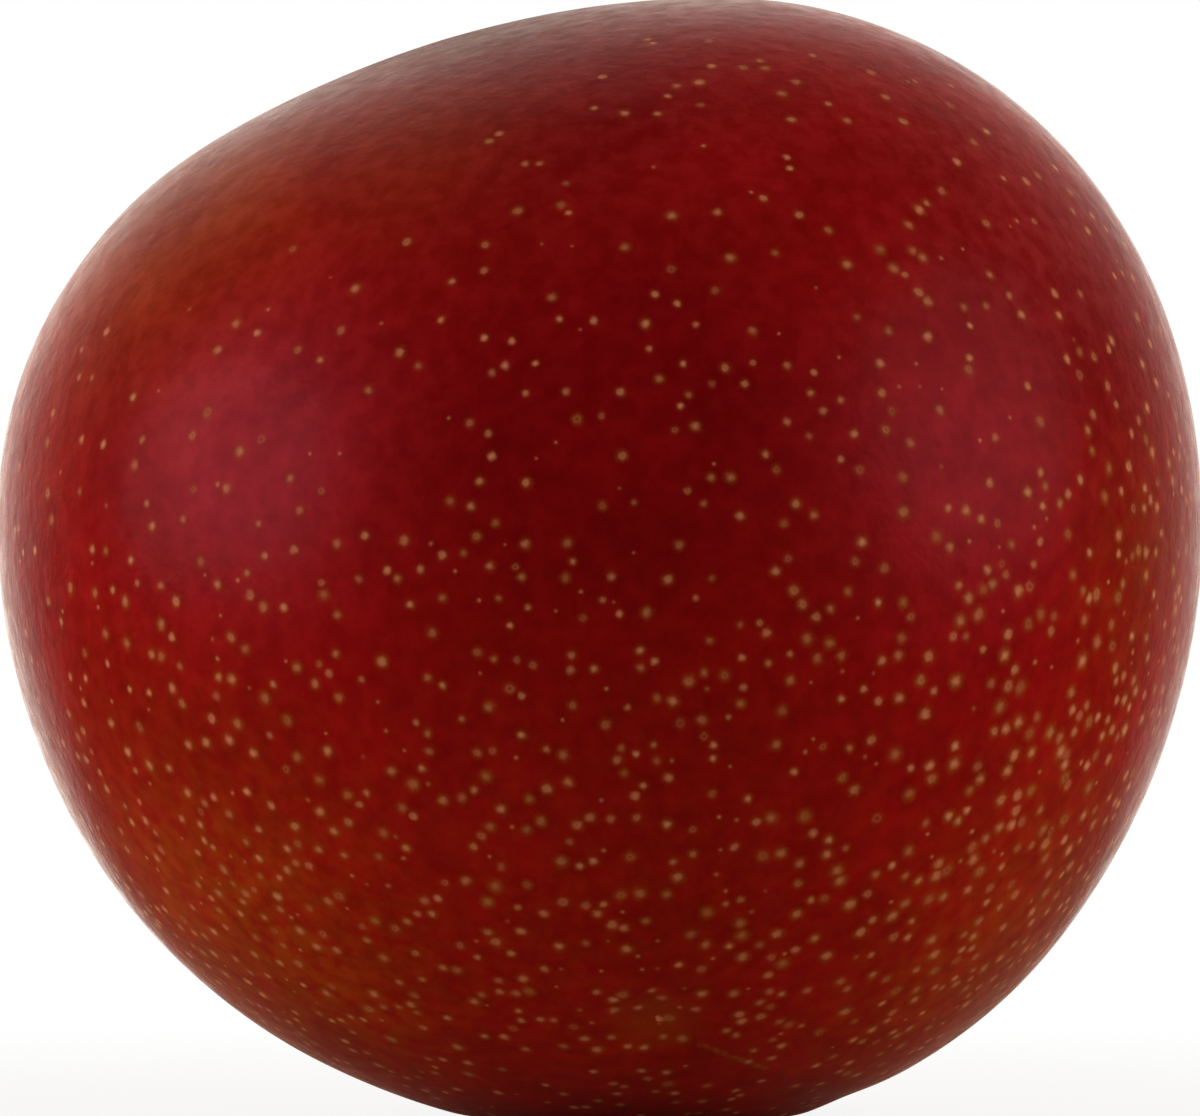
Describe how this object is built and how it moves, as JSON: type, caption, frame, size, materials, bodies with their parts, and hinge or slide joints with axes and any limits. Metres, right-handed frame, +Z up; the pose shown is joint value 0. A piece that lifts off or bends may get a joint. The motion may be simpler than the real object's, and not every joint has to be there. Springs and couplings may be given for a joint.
{
  "type": "plumcot",
  "caption": "Whole ripe plumcot lying on its side on a small flat spot: a round crimson fruit with a stem cavity, a shallow suture, a blossom scar and skin freckled with pale dots.",
  "frame": {"origin": "middle of the flat spot that the fruit rests on", "axes": "+Z up from the flat spot, -Y towards the front of the fruit, where its blossom end shows, +X to the right of the front, across the widest way"},
  "size_m": [0.062, 0.0604, 0.0577],
  "materials": {
    "skin": "satin waxy fruit skin, dark crimson, freckled with small tan dots"
  },
  "bodies": {
    "root": {"fruit": "skin"}
  },
  "joints": []
}
